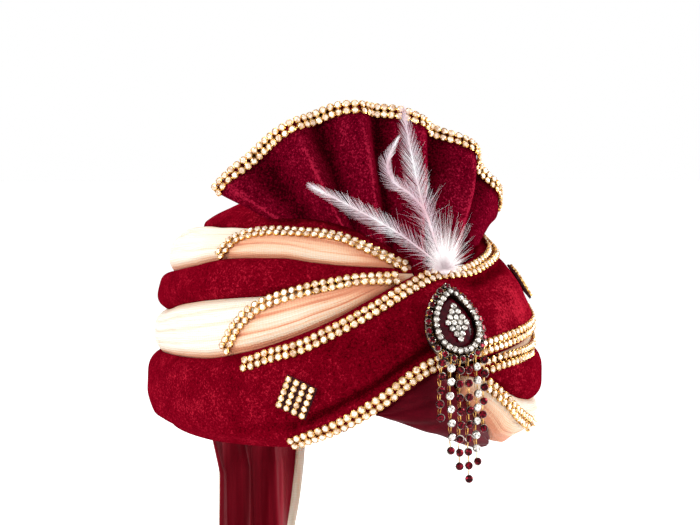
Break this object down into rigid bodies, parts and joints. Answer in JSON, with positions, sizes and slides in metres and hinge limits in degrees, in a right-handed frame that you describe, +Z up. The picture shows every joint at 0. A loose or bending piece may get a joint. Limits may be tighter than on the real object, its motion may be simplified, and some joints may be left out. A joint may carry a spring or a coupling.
{
  "type": "tied turban pagri",
  "caption": "A tied turban pagri of crossing maroon velvet and cream gauze folds with a pleated fan, stone trims, a teardrop brooch with a hanging fringe, white feathers and a satin tail",
  "frame": {"origin": "The middle of the head opening, in the plane of the lower rim, where the wearer's head enters", "axes": "+Z up out of the crown; the wearer faces -Y and the wearer's right is -X"},
  "size_m": [0.2029, 0.2476, 0.2775],
  "materials": {
    "maroon_velvet": "velvet pile",
    "cream_gauze": "soft crinkled gauze",
    "maroon_satin": "satin",
    "cap_cloth": "plain lining",
    "gold_setting": "polished cup chain",
    "dark_metal": "dark oxidised",
    "ruby_stone": "faceted",
    "clear_stone": "faceted",
    "heart_enamel": "glossy",
    "feather": "fluffy barbs"
  },
  "bodies": {
    "root": {"crown_cap": "cap_cloth", "crown_top": "maroon_velvet", "front_band": "maroon_velvet", "cream_fold_lower": "cream_gauze", "maroon_fold": "maroon_velvet", "cream_fold_upper": "cream_gauze", "forehead_satin": "maroon_satin", "crest_fan": "maroon_velvet", "trim_crest": "gold_setting", "trim_band_upper": "gold_setting", "trim_band_lower": "gold_setting", "trim_fold_lower": "gold_setting", "trim_fold_upper": "gold_setting", "trim_left_mid": "gold_setting", "trim_left_low": "gold_setting", "patch_right": "clear_stone", "patch_left": "clear_stone", "brooch_plate": "dark_metal", "brooch_ruby_ring": "ruby_stone", "brooch_clear_ring": "clear_stone", "brooch_heart": "heart_enamel", "brooch_centre": "clear_stone", "strand_1": "ruby_stone", "strand_2": "ruby_stone", "strand_3": "ruby_stone", "strand_4": "ruby_stone", "strand_5": "ruby_stone", "strand_6": "ruby_stone", "feather_plume": "feather", "tail_satin": "maroon_satin", "tail_cream": "cream_gauze"}
  },
  "joints": []
}
